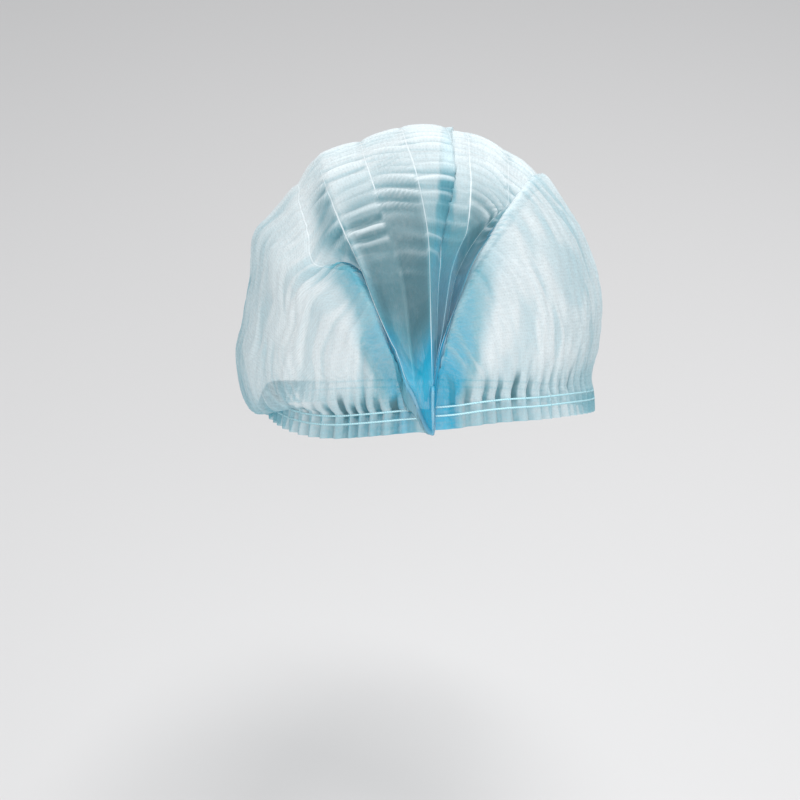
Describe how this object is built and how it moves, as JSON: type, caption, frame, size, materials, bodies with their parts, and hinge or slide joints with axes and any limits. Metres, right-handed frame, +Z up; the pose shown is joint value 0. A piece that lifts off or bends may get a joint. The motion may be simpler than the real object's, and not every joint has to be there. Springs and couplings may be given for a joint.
{
  "type": "disposable shower cap",
  "caption": "Pleated see-through cap of thin nonwoven cloth, gathered on elastic along both sides and fused at the forehead and nape, shaped as it sits on a head.",
  "frame": {"origin": "centre of the elastic loop, where the cap grips a wearer's head", "axes": "+Z up with the wearer's head upright, -Y towards the forehead, +X towards the wearer's left ear"},
  "size_m": [0.1747, 0.2209, 0.1997],
  "materials": {
    "sheet": "pale blue spunbonded nonwoven, thin and see-through, with a faint dimple pattern",
    "elastic": "thin elastic thread, pale",
    "weld": "pleats fused into one stiff fin, deeper blue"
  },
  "bodies": {
    "root": {"crown": "sheet", "hem_right": "sheet", "hem_left": "sheet", "elastic_right_upper": "elastic", "elastic_right_lower": "elastic", "elastic_left_upper": "elastic", "elastic_left_lower": "elastic", "front_weld": "weld", "back_weld": "weld"}
  },
  "joints": []
}
